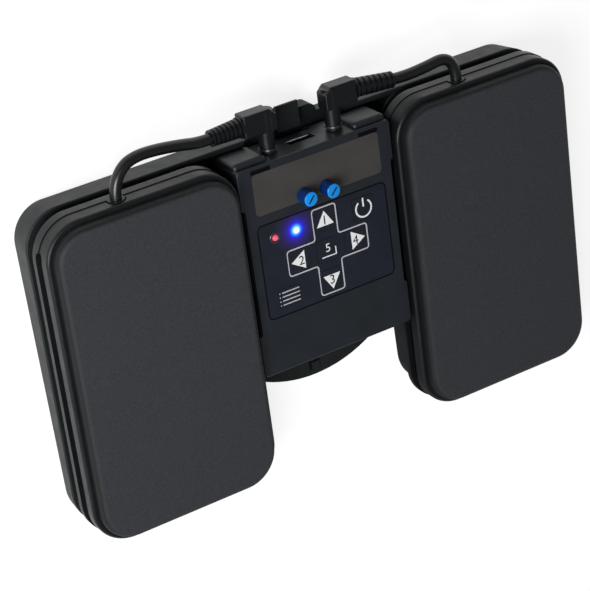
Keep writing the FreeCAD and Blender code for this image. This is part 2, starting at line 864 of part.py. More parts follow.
def upper_case():
    """The controller's top half, with sunk places for its label plate and key overlay."""
    body = case_half("controller_top", d.case_top, d.case_seam)
    fillet(body, "edge", d.case_round, level_edges(body.Tip.Shape, -d.case_top.value))
    add_shoulders(body, d.shoulder_top, d.case_seam)
    fillet(body, "shoulders", d.shoulder_round - 0.2, shoulder_edges(body, -d.shoulder_top))
    cut_grips(body, d.case_top - PAST, THROUGH)
    hollow(body, d.case_top + d.case_wall, THROUGH, along=False)
    bosses(body, d.case_top + d.case_wall - JOIN,
           d.case_seam - d.case_top - d.case_wall + JOIN, True)
    screw_bores(body, "screw_bores", d.case_seam, 6, d.screw_radius, along=True)
    rear_holes(body)
    sunk = new_sketch(body, "plate_bed", level=-d.case_top)
    half = d.plate_width / 2
    rounded(sunk, -half, half, d.plate_front, d.plate_back, d.plate_corner, d.plate_corner)
    pocket(body, sunk, d.sheet_thick)
    sunk = new_sketch(body, "overlay_bed", level=-d.case_top)
    half = d.overlay_width / 2
    rounded(sunk, -half, half, -d.overlay_front, d.overlay_back, d.face_corner, d.face_corner)
    pocket(body, sunk, d.sheet_thick)
    latches = new_sketch(body, "latch_slots", level=-d.case_top)
    for left, right in ((-d.latch_outer, -d.latch_inner), (d.latch_inner, d.latch_outer)):
        rectangle(latches, left, right, d.plate_back, d.latch_back)
    pocket(body, latches, d.latch_deep)
    face_holes(body, d.case_top - 1, PAST + 1)
    shaft_holes(body, d.case_top - 1, PAST + 1)


def shoulder_edges(body, height):
    """The outer edges of the two shoulders behind the case, at one height."""
    names = []
    for name in level_edges(body.Tip.Shape, height.value):
        if body.Tip.Shape.getElement(name).BoundBox.YMax > d.case_back.value + 0.5:
            names.append(name)
    return names


def lower_case():
    """The controller's bottom half, with the channel that slides over the dock's rail."""
    body = case_half("controller_bottom", d.case_seam, d.case_under)
    fillet(body, "edge", d.case_foot_round, level_edges(body.Tip.Shape, -d.case_under.value))
    add_shoulders(body, d.case_seam, d.shoulder_under)
    fillet(body, "shoulders", d.shoulder_round - 0.2, shoulder_edges(body, -d.shoulder_under))
    cut_grips(body, d.case_seam - PAST, THROUGH)
    hollow(body, d.case_under - d.case_wall, THROUGH, along=True)
    ridge = new_sketch(body, "ridge", level=-d.case_under + 2 * JOIN)
    half = d.rail_head / 2 + d.channel_side
    inset = 2 * JOIN
    rectangle(ridge, -half, half, -d.case_front + inset, d.case_back - inset)
    pad(body, ridge, d.case_under - 2 * JOIN - d.rail_top + d.channel_wall)
    bosses(body, d.case_under - d.case_wall + JOIN,
           d.case_under - d.case_seam - d.case_wall + JOIN, False)
    front, back = -d.rail_front - d.dock_gap, d.case_back + PAST
    half = d.rail_neck / 2 + d.dock_gap
    neck = new_sketch(body, "channel_neck", level=-d.rail_step)
    rectangle(neck, -half, half, front, back)
    pocket(body, neck, PAST)
    half = d.rail_head / 2 + d.dock_gap
    head = new_sketch(body, "channel_head", level=-d.rail_top + d.dock_gap)
    rectangle(head, -half, half, front, back)
    pocket(body, head, d.rail_step - d.rail_top + 2 * d.dock_gap)
    rear_holes(body)
    screw_bores(body, "screw_bores", d.case_seam - 1, THROUGH, d.screw_radius + d.screw_room)
    screw_bores(body, "screw_sinks", d.case_under - d.screw_sink, PAST,
                d.screw_head + 2 * d.screw_room)


def face_sheets():
    """The bare label plate and the key overlay, flush in the controller's top."""
    body = new_body("label_plate")
    sketch = new_sketch(body, "outline", level=-d.case_top - d.sheet_thick)
    gap = d.plate_gap
    half = d.plate_width / 2 - gap
    corner = d.plate_corner - gap
    rounded(sketch, -half, half, d.plate_front + gap, d.plate_back - gap, corner, corner)
    pad(body, sketch, d.sheet_thick)
    shaft_holes(body, d.case_top - 1, PAST)

    body = new_body("key_overlay")
    sketch = new_sketch(body, "outline", level=-d.case_top - d.sheet_thick)
    gap = d.overlay_gap
    half = d.overlay_width / 2 - gap
    corner = d.face_corner - gap
    rounded(sketch, -half, half, -d.overlay_front + gap, d.overlay_back - gap, corner, corner)
    pad(body, sketch, d.sheet_thick)
    face_holes(body, d.case_top - 1, PAST)


def keys():
    """Seven flush keys, each a square cap on a round stem over its contact."""
    for name, across, back, width, deep in face_places():
        body = new_body(name)
        cap = new_sketch(body, "cap", level=-d.case_top + d.key_rise)
        half, rise = width / 2, deep / 2
        corner = d.hole_corner - d.key_gap
        rounded(cap, across - half, across + half, back - rise, back + rise, corner, corner)
        pad(body, cap, d.key_cap, against=True)
        stem = new_sketch(body, "stem", level=-d.board_top + d.key_travel + d.key_rise)
        circle(stem, across, back, d.stem_radius)
        pad(body, stem, d.board_top - d.key_travel - d.case_top - d.key_cap)


def knobs():
    """Two slotted trim knobs on short shafts, and the trimmers that they turn."""
    for name, across in (("left_knob", d.knob_left), ("right_knob", d.knob_right)):
        body = new_body(name)
        under = -d.case_top + d.knob_rise
        grip = new_sketch(body, "grip", level=under)
        circle(grip, across, d.knob_back, d.knob_radius)
        pad(body, grip, -under)
        fillet(body, "edge", d.knob_round, level_edges(body.Tip.Shape, 0))
        slot = new_sketch(body, "slot", level=0)
        reach, half = d.knob_radius + 1, d.knob_slot / 2
        rectangle(slot, across - reach, across + reach, d.knob_back - half, d.knob_back + half)
        pocket(body, slot, d.knob_slot_deep)
        shaft = new_sketch(body, "shaft", level=under)
        circle(shaft, across, d.knob_back, d.shaft_radius)
        pad(body, shaft, d.shaft_length, against=True)

        body = new_body(name.replace("knob", "trimmer"))
        half = d.trimmer_width / 2 - d.plate_gap
        block = new_sketch(body, "block", level=-d.board_top)
        rectangle(block, across - half, across + half, d.knob_back - half, d.knob_back + half)
        pad(body, block, d.trimmer_tall)
        bore = new_sketch(body, "bore", level=-d.board_top + d.trimmer_tall)
        circle(bore, across, d.knob_back, d.shaft_radius + d.running_gap)
        pocket(body, bore, d.trimmer_bore)


def lamps():
    """Two small round lamps that show through the overlay."""
    for name, across in (("red_led", d.led_red), ("blue_led", d.led_blue)):
        body = new_body(name)
        sketch = new_sketch(body, "round", level=-d.board_top)
        circle(sketch, across, d.led_back, d.led_radius)
        pad(body, sketch, d.board_top - d.case_top + d.led_rise)
        top = -d.case_top + d.led_rise
        fillet(body, "dome", d.led_round, level_edges(body.Tip.Shape, top.value))


def electronics():
    """The circuit board, battery and sockets inside the controller."""
    body = new_body("circuit_board")
    sketch = new_sketch(body, "outline", level=-d.board_top - d.board_thick)
    half = d.board_width / 2
    rounded(sketch, -half, half, -d.board_front, d.board_back, 2, 1)
    pad(body, sketch, d.board_thick)

    body = new_body("battery")
    sketch = new_sketch(body, "outline", level=-d.rail_top + 2.1)
    half = d.battery_width / 2
    rounded(sketch, -half, half, -d.battery_front, d.battery_back, 2, 2)
    pad(body, sketch, d.battery_thick)

    body = new_body("usb_socket")
    under = -d.board_top - d.board_thick
    section = new_sketch(body, "shell", "XZ_Plane", -d.usb_front)
    half = d.usb_width / 2
    rectangle(section, -half, half, under - d.usb_tall, under)
    pad(body, section, d.usb_back - d.usb_front, against=True)
    mouth = new_sketch(body, "mouth", "XZ_Plane", -d.usb_back)
    inner = half - d.usb_metal
    rectangle(mouth, -inner, inner, under - d.usb_tall + d.usb_metal, under - d.usb_metal)
    pocket(body, mouth, d.usb_back - d.usb_front - 2, along=True)
    tongue = new_sketch(body, "tongue", "XZ_Plane", -d.usb_front - 1)
    rectangle(tongue, -inner + 0.7, inner - 0.7, under - 0.9 - d.usb_tongue, under - 0.9)
    pad(body, tongue, d.usb_back - d.usb_front - 2, against=True)

    for name, sign in (("left_jack_socket", -1), ("right_jack_socket", 1)):
        body = new_body(name)
        across = sign * d.jack_side
        block = new_sketch(body, "block", "XZ_Plane", -d.board_back)
        half = d.jack_width / 2
        drop = -d.jack_drop
        rectangle(block, across - half, across + half, drop - 3.4, drop + 3.4)
        pad(body, block, d.case_back - d.case_wall - d.board_back, against=True)
        nose = new_sketch(body, "nose", "XZ_Plane", -d.board_back - 1)
        circle(nose, across, drop, d.jack_nose)
        pad(body, nose, d.jack_out - d.board_back - 1, against=True)
        bore = new_sketch(body, "bore", "XZ_Plane", -d.jack_out)
        circle(bore, across, drop, d.bore_radius)
        pocket(body, bore, d.bore_depth, along=True)


def case_screws():
    """Four screws that close the controller's case from below."""
    body = new_body("case_screws")
    head_top = -d.case_under + d.screw_sink
    heads = new_sketch(body, "heads", level=head_top)
    shanks = new_sketch(body, "shanks", level=head_top)
    for side in (-1, 1):
        for back in (-d.boss_front, d.boss_back):
            circle(heads, side * d.boss_side, back, d.screw_head)
            circle(shanks, side * d.boss_side, back, d.screw_radius)
    pad(body, heads, d.head_tall, against=True)
    pad(body, shanks, d.case_under - d.case_seam + d.case_screw_hold)


def plug(name, sign, relief_end):
    """A right-angled jack plug: metal pin and collar, moulded block and ribbed relief."""
    across = sign * d.jack_side
    drop = -d.jack_drop
    body = new_body(name + "_plug_pin")
    pin = new_sketch(body, "pin", "XZ_Plane", -d.collar_front + d.pin_tip)
    circle(pin, across, drop, d.plug_pin_radius)
    pad(body, pin, d.pin_tip, against=True)
    collar = new_sketch(body, "collar", "XZ_Plane", -d.collar_front)
    circle(collar, across, drop, d.barrel_radius + d.collar_rim)
    pad(body, collar, d.collar_thick, against=True)

    body = new_body(name + "_plug")
    block = new_sketch(body, "block", level=drop - d.block_half)
    inner, outer = d.block_inner, d.block_outer
    front, back, chamfer = d.block_front, d.block_back, d.block_chamfer
    polygon(block, [(sign * inner, front), (sign * outer, front), (sign * outer, back),
                    (sign * (inner + chamfer), back), (sign * inner, back - chamfer)])
    pad(body, block, 2 * d.block_half)
    fillet(body, "block_edges", d.block_round,
           ["Edge%d" % number for number in range(1, len(body.Tip.Shape.Edges) + 1)])
    barrel = new_sketch(body, "barrel", "XZ_Plane", -d.collar_front - d.collar_thick)
    circle(barrel, across, drop, d.barrel_radius)
    pad(body, barrel, front - d.collar_front - d.collar_thick + 1, against=True)
    hub = new_sketch(body, "hub", "XZ_Plane", -front)
    circle(hub, across, drop, d.hub_radius)
    pad(body, hub, d.hub_back - front, against=True)

    body = new_body(name + "_strain_relief")
    root = new_sketch(body, "root", "YZ_Plane", sign * outer)
    circle(root, d.relief_axis, drop, d.relief_flange)
    pad(body, root, d.relief_root, against=sign < 0)
    start = sign * (outer + d.relief_root / 2)
    finish = Vector(*[size.value for size in relief_end])
    base = Vector(start.value, d.relief_axis.value, drop.value)
    reach = finish - base
    profile = new_sketch(body, "profile", "XY_Plane", drop)
    profile.AttachmentOffset = Placement(base, Rotation(Vector(1, 0, 0), reach))
    profile.setExpression("AttachmentOffset.Base.x", start.text)
    profile.setExpression("AttachmentOffset.Base.y", d.relief_axis.text)
    length = reach.Length
    ribs = 7
    corners = [(0, 0), (0, d.relief_radius)]
    for rib in range(ribs):
        radius = d.relief_radius - (d.relief_radius - d.relief_end) * (rib / (ribs - 1))
        groove = radius - d.relief_rib
        at, to, stop = [length * (rib + share) / ribs for share in (0.35, 0.65, 1.0)]
        corners += [(at, radius), (at, groove), (to, groove)]
        if rib < ribs - 1:
            corners.append((to, radius))
        else:
            corners += [(to, radius), (stop, radius)]
    corners.append((length, 0))
    polygon(profile, corners)
    revolve(body, profile)


def revolve(body, profile):
    """Turn a profile about the line along its own X axis."""
    far = 60
    axis = profile.addGeometry(Part.LineSegment(Vector(-far, 0, 0), Vector(far, 0, 0)), True)
    profile.addConstraint(Sketcher.Constraint("Horizontal", axis))
    hold(profile, "DistanceY", (-1, 1, axis, 1), 0)
    feature = body.newObject("PartDesign::Revolution", profile.Label + "_turn")
    feature.Profile = profile
    feature.ReferenceAxis = (profile, ["Axis0"])
    feature.Angle = 360
    doc.recompute()


def rounded_path(points):
    """Straight runs joined by arcs as large as their runs allow, and the arcs' radii."""
    edges = []
    radii = []
    start = points[0]
    for before, corner, after in zip(points, points[1:], points[2:]):
        come, leave = corner - before, after - corner
        half_turn = come.getAngle(leave) / 2
        reach = 0.45 * min(come.Length, leave.Length)
        radii.append(reach / math.tan(half_turn))
        enter = corner - come.normalize() * reach
        exit_point = corner + leave.normalize() * reach
        bisector = (exit_point - corner).normalize() + (enter - corner).normalize()
        centre_distance = reach / math.sin(half_turn) * math.tan(half_turn) / math.cos(half_turn)
        centre = corner + bisector.normalize() * (radii[-1] / math.cos(half_turn))
        middle = centre + (corner - centre).normalize() * radii[-1]
        edges.append(Part.LineSegment(start, enter).toShape())
        edges.append(Part.Arc(enter, middle, exit_point).toShape())
        start = exit_point
    edges.append(Part.LineSegment(start, points[-1]).toShape())
    return Part.Wire(edges), radii


def cord(name, route):
    """One cord from its strain relief to the gland in its pedal, as a tube along the route."""
    path, radii = rounded_path([Vector(*point) for point in route])
    start = path.Edges[0].valueAt(path.Edges[0].FirstParameter)
    heading = path.Edges[0].tangentAt(path.Edges[0].FirstParameter)
    ring = Part.Wire([Part.Circle(start, heading, d.cord_thick.value / 2).toShape()])
    tube = path.makePipeShell([ring], True, False)
    expected = math.pi * (d.cord_thick.value / 2) ** 2 * path.Length
    print("%s: length %.1f mm, least radius %.1f mm, volume over section times length %.4f"
          % (name, path.Length, min(radii), tube.Volume / expected))
    feature = doc.addObject("Part::Feature", name)
    feature.Label = name
    feature.Shape = tube
    base = Vector(0, d.deck_shift.value, d.deck_height.value)
    feature.Placement = Placement(base, Rotation(Vector(1, 0, 0), d.deck_tilt.value))
    nodes.append(feature)


doc = FreeCAD.newDocument("foot_pedal_switch")
nodes = []
d = make_sheet()

board()
screw_sinks(nodes[0])
board_feet()
board_screws()
for side, sign in (("left", -1), ("right", 1)):
    middle = sign * d.pedal_offset
    riser(side, middle)
    lower_shell(side, middle)
    upper_shell(side, middle)
    tread_pad(side, middle)
    pedal_inside(side, middle)
upper_case()
lower_case()
face_sheets()
keys()
knobs()
lamps()
electronics()
case_screws()
plug("left", -1, (d.left_relief_side, d.left_relief_back, -d.left_relief_drop))
plug("right", 1, (d.right_relief_side, d.right_relief_back, -d.right_relief_drop))

# Cord routes in the deck frame, from the strain relief to the gland.
gland_back = DIMS["pad_back"] + DIMS["lower_out"]
left_gland = -DIMS["pedal_offset"] + DIMS["cord_side"]
right_gland = DIMS["pedal_offset"] + DIMS["cord_side"]
gland_drop = -DIMS["cord_drop"]
cord("left_cord", [
    (DIMS["left_relief_side"], DIMS["left_relief_back"], -DIMS["left_relief_drop"]),
    (-50.1, 86.6, -16.5),
    (-60.0, 89.1, -15.3),
    (-72.0, 91.3, -14.0),
    (-82.0, 92.1, -12.9),
    (-89.6, 90.2, -11.8),
    (left_gland, 82.6, gland_drop),
    (left_gland, gland_back, gland_drop),
])
cord("right_cord", [
    (DIMS["right_relief_side"], DIMS["right_relief_back"], -DIMS["right_relief_drop"]),
    (54.4, 84.8, -15.9),
    (65.5, 86.8, -13.5),
    (74.4, 88.9, -12.0),
    (right_gland, 83.8, gland_drop),
    (right_gland, gland_back, gland_drop),
])

doc.recompute()
for thing in doc.Objects:
    if "Invalid" in thing.State or "Error" in thing.State:
        raise ValueError("%s failed: %s" % (thing.Label, thing.State))
os.makedirs("parts", exist_ok=True)
for node in nodes:
    if node.Shape.isNull() or not node.Shape.isValid() or not node.Shape.Solids:
        raise ValueError("%s has no valid solid" % node.Label)
    node.Shape.exportStep("parts/%s.step" % node.Label)
whole = Part.makeCompound([node.Shape for node in nodes])
print("%d nodes, box %s" % (len(nodes), whole.BoundBox))
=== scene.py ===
import math

import bmesh
import bpy
from mathutils import Matrix, Quaternion, Vector


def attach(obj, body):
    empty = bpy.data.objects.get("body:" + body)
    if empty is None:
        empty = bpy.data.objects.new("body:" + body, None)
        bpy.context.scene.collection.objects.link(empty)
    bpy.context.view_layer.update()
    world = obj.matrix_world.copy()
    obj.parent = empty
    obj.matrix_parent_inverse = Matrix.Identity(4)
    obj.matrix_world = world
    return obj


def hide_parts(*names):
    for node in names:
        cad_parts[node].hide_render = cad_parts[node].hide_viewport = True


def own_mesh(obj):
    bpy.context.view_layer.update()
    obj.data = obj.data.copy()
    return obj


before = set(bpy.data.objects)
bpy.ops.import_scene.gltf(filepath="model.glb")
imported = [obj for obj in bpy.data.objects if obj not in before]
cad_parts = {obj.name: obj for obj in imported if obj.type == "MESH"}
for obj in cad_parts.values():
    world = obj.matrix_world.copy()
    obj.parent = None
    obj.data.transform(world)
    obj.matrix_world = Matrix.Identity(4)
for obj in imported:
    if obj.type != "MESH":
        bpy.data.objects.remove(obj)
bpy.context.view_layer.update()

# Two-pedal foot switch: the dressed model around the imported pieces.
# Shapes are drawn in millimetres in the deck frame: X right, Y to the rear, Z up from the plane of
# the pad tops. One matrix leans them over the floor and turns them into metres.

MM = 0.001
DECK_TILT = math.radians(2.92)
DECK_SHIFT = -5.53
DECK_HEIGHT = 38.46
DECK = (Matrix.Translation((0, DECK_SHIFT * MM, DECK_HEIGHT * MM))
        @ Matrix.Rotation(DECK_TILT, 4, "X") @ Matrix.Scale(MM, 4))
DECK_UP = (DECK.to_3x3() @ Vector((0, 0, 1))).normalized()
SIDES = (("left", -1), ("right", 1))

# The camera's place and aim, in metres, with its roll and its lens.
CAMERA_PLACE = (-0.47040, 0.41580, 0.88563)
CAMERA_AIM = (-0.01332, -0.00475, 0.0200)
CAMERA_ROLL = math.radians(117.43)
CAMERA_LENS = 145.02
CAMERA_REACH = 20.0

# A plain world, one lamp aimed at the middle, and a floor that glows where it is looked at.
# Reflections show the floor dark near one place between the pedals. Places and sizes here are in
# metres, and the lamp's power is in watts.
WORLD_LIGHT = 0.22
LAMP_PLACE = (-0.66, 0.06, 0.72)
LAMP_SIZE = 0.45
LAMP_POWER = 9.0
FLOOR_GLOW = 0.82
SHADE_PLACE = (0.01, -0.07, 0.0)
SHADE_NEAR = 0.09
SHADE_FAR = 0.15
FLOOR_SIDES = 64
FLOOR_PROFILE = [(3.0, 0.0), (3.3, 0.05), (3.6, 0.25), (3.8, 0.6), (3.9, 1.3)]

# The controller's face and key tops, and the thickness of the print on them.
FACE = -7.5
KEY_TOP = FACE + 0.1
PRINT_THICK = 0.05
ARROW_TOP = KEY_TOP + PRINT_THICK

# Arrow heads: each tip with the way that it points, in degrees.
ARROW_TIPS = {"key_1": ((0.5, 40.4), 90), "key_2": ((-18.9, 21.3), 180),
              "key_3": ((0.6, 2.2), 270), "key_4": ((19.9, 21.5), 0)}
ARROW_HALF = 4.4
ARROW_LONG = 7.1

# Digits: the middle of each.
DIGIT_PLACES = {1: (0.4, 36.0), 2: (-13.6, 21.3), 3: (0.6, 6.9), 4: (14.9, 21.3), 5: (0.4, 22.5)}
DIGIT_SIZE = 6.2
MIDDLE_DIGIT_SIZE = 5.7

# The other signs, and the lines on the overlay.
THIN_LINE = 0.5
CROSS_MIDDLE = (0.5, 21.45)
CROSS_ARM = 6.1
CROSS_REACH = 20.85
CROSS_CORNER = 1.5
CROSS_LINE = 0.62
RETURN_SIGN = [(-3.1, 18.4), (4.3, 18.4), (4.3, 22.0)]
POWER_MIDDLE = (20.95, 34.7)
POWER_RADIUS = 4.05
POWER_START = 127
POWER_STOP = 413
POWER_STEPS = 48
POWER_BAR = (0.8, 5.0)
POWER_LINE = 0.8
MENU_ROWS = (3.4, 5.35, 7.3, 9.25)
MENU_LEFT = -25.6
MENU_RIGHT = -16.6
MENU_DOT = -26.75
MENU_DOT_RADIUS = 0.3
MENU_DOT_STOP = 330
MENU_DOT_STEPS = 11
BORDER_HALF = 33.2
BORDER_FRONT = -1.55
BORDER_BACK = 43.55
BORDER_CORNER = 2.6
BORDER_LINE = 0.42
CORNER_STEPS = 4
MITRE_LIMIT = 0.3

# Painted shade on the pad's rounded edge: the heights where the painted shade is darkest and where
# the pad has its full colour, and the share of colour that is left where it is darkest.
RIM_SHADE_DARKEST = -0.7
RIM_SHADE_END = -0.03
RIM_SHADE_SHARE = 0.2

# Trim knobs: each level has its height, its share of the radius, and whether it is ribbed.
KNOB_PLACES = {"left": -8.7, "right": 3.0}
KNOB_BACK = 51.2
KNOB_RADIUS = 3.45
KNOB_RIBS = 36
RIB_DEEP = 0.18
KNOB_LEVELS = [(FACE + 0.3, 0.90, False), (FACE + 0.6, 1.0, True), (-1.1, 1.0, True),
               (-0.5, 0.95, False), (-0.15, 0.86, False), (0.0, 0.74, False)]
KNOB_TOP_SLOPE = 0.6
KNOB_SHARP = 28
# The slot is a dark block on the knob's top; its colour is painted shade of the groove.
SLOT_TURN = math.radians(48)
SLOT_HALF = 2.2
SLOT_SIDE = 0.4
SLOT_FLOOR = -0.4
SLOT_TOP = 0.01

# The lamps on the face. The bezel's profile goes out from the red lamp and up from the face.
LED_BACK = 36.2
LED_RED = -25.2
LED_BLUE = -14.3
LED_RADIUS = 1.6
LED_TOP = FACE + 1.0
BEZEL_SIDES = 48
BEZEL_PROFILE = [(0.10, 0.0), (0.10, 0.28), (0.30, 0.42), (0.60, 0.40), (0.95, 0.22), (1.10, 0.0)]
BEZEL_SHARP = 50

# The blue lamp's light on the overlay: a colour at each distance from the lamp.
GLOW_REACH = 12.0
GLOW = [
    (1.7, (0.20, 0.70, 1.0)),
    (2.4, (0.03, 0.20, 1.0)),
    (3.3, (0.006, 0.015, 0.80)),
    (4.5, (0.015, 0.004, 0.32)),
    (6.2, (0.014, 0.003, 0.10)),
    (9.0, (0.006, 0.001, 0.025)),
    (12.0, (0.0, 0.0, 0.0)),
]

# Dark fillings that paint the shade in the latch slots of the face and in the catch's slits of the
# disc.
FILL_GAP = 0.05
FINE_CORNER = 0.1
LATCH_INNER = 22.8
LATCH_OUTER = 32.8
LATCH_FRONT = 68.0
LATCH_BACK = 70.0
LATCH_CORNER = 0.2
LATCH_FLOOR = FACE - 1.2
LATCH_FILL = FACE - 0.35
DISC_TOP = -33.3
SLIT_INNER = 2.0
SLIT_OUTER = 2.8
SLIT_FRONT = -48.0
SLIT_BACK = -34.0
SLIT_FLOOR = DISC_TOP - 2.0
SLIT_FILL = DISC_TOP - 0.3

# The bright lip in the mouth of the data socket: a white plate that paints the highlight on the
# socket's metal edge.
LIP_LEFT = -6.1
LIP_RIGHT = 5.7
LIP_FRONT = 70.45
LIP_BACK = 70.95
LIP_FLOOR = -22.1
LIP_TOP = -21.7

# The return blocks, between the tray of a pedal and the roof of its lid.
PEDAL_OFFSET = 87.0
TRAY = -16.8
ROOF = -7.4
RETURN_SIDE = 26.0
RETURN_BACK = -20.0
RETURN_HALF = 4.5
RETURN_CORNER = 1.5

# Cords from their strain reliefs to their glands. Their lengths are in metres.
CORD_DIAMETER = 5.2
CORD_ROUTES = {
    "left": [(-44.6, 86.6, -16.9), (-50.1, 86.6, -16.5), (-60.0, 89.1, -15.3),
             (-72.0, 91.3, -14.0), (-82.0, 92.1, -12.9), (-89.6, 90.2, -11.8),
             (-95.0, 82.6, -11.2), (-95.0, 77.3, -11.2)],
    "right": [(48.4, 85.2, -16.4), (54.4, 84.8, -15.9), (65.5, 86.8, -13.5),
              (74.4, 88.9, -12.0), (79.0, 83.8, -11.2), (79.0, 77.3, -11.2)],
}


# Materials


def new_material(name):
    """A node material with its shader and a coordinate source in metres."""
    material = bpy.data.materials.new(name)
    material.use_nodes = True
    nodes = material.node_tree.nodes
    where = nodes.new("ShaderNodeTexCoord")
    return material, nodes["Principled BSDF"], where.outputs["Object"]


def link(material, source, target):
    material.node_tree.links.new(source, target)


def noise(material, where, scale, detail=4.0):
    node = material.node_tree.nodes.new("ShaderNodeTexNoise")
    node.inputs["Scale"].default_value = scale
    node.inputs["Detail"].default_value = detail
    node.inputs["Roughness"].default_value = 0.55
    link(material, where, node.inputs["Vector"])
    return node.outputs["Fac"]


def ramp(material, factor, low, high, start=0.35, stop=0.65):
    """Two colours blended by a factor."""
    node = material.node_tree.nodes.new("ShaderNodeValToRGB")
    node.color_ramp.elements[0].position = start
    node.color_ramp.elements[0].color = (*low, 1)
    node.color_ramp.elements[1].position = stop
    node.color_ramp.elements[1].color = (*high, 1)
    link(material, factor, node.inputs["Fac"])
    return node.outputs["Color"]


def ranged(material, value, start, stop, low=0.0, high=1.0):
    """A value moved from one range into another, and held inside it."""
    node = material.node_tree.nodes.new("ShaderNodeMapRange")
    node.inputs["From Min"].default_value = start
    node.inputs["From Max"].default_value = stop
    node.inputs["To Min"].default_value = low
    node.inputs["To Max"].default_value = high
    link(material, value, node.inputs["Value"])
    return node.outputs["Result"]


def spread(material, factor, low, high):
    """The usual range of a noise, spread over a range of values."""
    return ranged(material, factor, start=0.3, stop=0.7, low=low, high=high)


def bump(material, height, strength, distance):
    node = material.node_tree.nodes.new("ShaderNodeBump")
    node.inputs["Strength"].default_value = strength
    node.inputs["Distance"].default_value = distance
    link(material, height, node.inputs["Height"])
    return node.outputs["Normal"]


def calculated(material, operation, first, second):
    """One value from two, such as their product or the larger of them."""
    node = material.node_tree.nodes.new("ShaderNodeMath")
    node.operation = operation
    link(material, first, node.inputs[0])
    link(material, second, node.inputs[1])
    return node.outputs["Value"]


def measured(material, where, operation, vector):
    """Each point's distance from a place, or its height along a direction, in metres."""
    node = material.node_tree.nodes.new("ShaderNodeVectorMath")
    node.operation = operation
    node.inputs[1].default_value = tuple(vector)
    link(material, where, node.inputs[0])
    return node.outputs["Value"]


def moulded(name, color, rough, grain=900.0, depth=0.25, fine=0.00004, vary=0.12, gloss=0.5,
            cloud=60.0):
    """Moulded plastic or rubber: slight clouding, uneven polish and a fine grain."""
    material, shader, where = new_material(name)
    low = tuple(channel * (1 - vary) for channel in color)
    high = tuple(channel * (1 + vary) for channel in color)
    patches = noise(material, where, scale=cloud)
    link(material, ramp(material, patches, low, high), shader.inputs["Base Color"])
    polish = noise(material, where, scale=140.0)
    polish = spread(material, polish, low=rough - 0.05, high=rough + 0.05)
    link(material, polish, shader.inputs["Roughness"])
    texture = noise(material, where, scale=grain, detail=2.0)
    link(material, bump(material, texture, strength=depth, distance=fine), shader.inputs["Normal"])
    shader.inputs["Specular IOR Level"].default_value = gloss
    return material


def pad_material():
    """Grained rubber, dusty on the tread, with painted shade that darkens the rounded edge below
    it.
    """
    material = moulded("pad_rubber", (0.0305, 0.0335, 0.0385), rough=0.60, grain=1500.0, depth=0.5,
                       fine=0.00010, vary=0.16, gloss=0.30, cloud=1100.0)
    nodes = material.node_tree.nodes
    color = nodes["Principled BSDF"].inputs["Base Color"]
    where = nodes.new("ShaderNodeTexCoord").outputs["Object"]
    # Painted shade: the colour is scaled down along the rounded edge, by height below the tread.
    height = measured(material, where, "DOT_PRODUCT", DECK_UP)
    dark = DECK_UP.dot(DECK @ Vector((0, 0, RIM_SHADE_DARKEST)))
    light = DECK_UP.dot(DECK @ Vector((0, 0, RIM_SHADE_END)))
    fade = ranged(material, height, start=dark, stop=light, low=RIM_SHADE_SHARE)
    shade = nodes.new("ShaderNodeVectorMath")
    shade.operation = "SCALE"
    link(material, color.links[0].from_socket, shade.inputs[0])
    link(material, fade, shade.inputs["Scale"])
    link(material, shade.outputs["Vector"], color)
    return material


def metal(name, color, rough):
    """Metal with slight clouding in its colour and polish."""
    material, shader, where = new_material(name)
    low = tuple(channel * 0.9 for channel in color)
    cloud = noise(material, where, scale=500.0)
    link(material, ramp(material, cloud, low, color), shader.inputs["Base Color"])
    polish = spread(material, cloud, low=rough - 0.05, high=rough + 0.08)
    link(material, polish, shader.inputs["Roughness"])
    shader.inputs["Metallic"].default_value = 1.0
    return material


def led_material(name, across, core, rim, strength, start, stop):
    """A clear coloured lamp that glows most at the middle of its dome. Its colour goes from core
    to rim between two distances from that middle."""
    material, shader, where = new_material(name)
    far = measured(material, where, "DISTANCE", DECK @ Vector((across, LED_BACK, LED_TOP)))
    fade = ranged(material, far, start=start * MM, stop=stop * MM)
    tint = ramp(material, fade, core, rim, start=0.0, stop=1.0)
    link(material, tint, shader.inputs["Base Color"])
    link(material, tint, shader.inputs["Emission Color"])
    shader.inputs["Emission Strength"].default_value = strength
    shader.inputs["Roughness"].default_value = 0.15
    shader.inputs["Coat Weight"].default_value = 0.6
    return material


def overlay_material():
    """The key overlay: dark bluish film with the light of the blue lamp spilling on it."""
    material, shader, where = new_material("overlay_film")
    cloud = noise(material, where, scale=90.0)
    color = ramp(material, cloud, (0.0070, 0.0100, 0.0180), (0.0090, 0.0125, 0.0220))
    link(material, color, shader.inputs["Base Color"])
    polish = spread(material, noise(material, where, scale=200.0), low=0.40, high=0.48)
    link(material, polish, shader.inputs["Roughness"])
    texture = noise(material, where, scale=2600.0, detail=2.0)
    grain = bump(material, texture, strength=0.25, distance=0.00003)
    link(material, grain, shader.inputs["Normal"])
    shader.inputs["Specular IOR Level"].default_value = 0.35
    far = measured(material, where, "DISTANCE", DECK @ Vector((LED_BLUE, LED_BACK, FACE)))
    fade = ranged(material, far, start=0.0, stop=GLOW_REACH * MM)
    glow = material.node_tree.nodes.new("ShaderNodeValToRGB")
    elements = glow.color_ramp.elements
    for element, (radius, tint) in zip(elements, (GLOW[0], GLOW[-1])):
        element.position = radius / GLOW_REACH
        element.color = (*tint, 1)
    for radius, tint in GLOW[1:-1]:
        elements.new(radius / GLOW_REACH).color = (*tint, 1)
    link(material, fade, glow.inputs["Fac"])
    link(material, glow.outputs["Color"], shader.inputs["Emission Color"])
    shader.inputs["Emission Strength"].default_value = 1.0
    return material


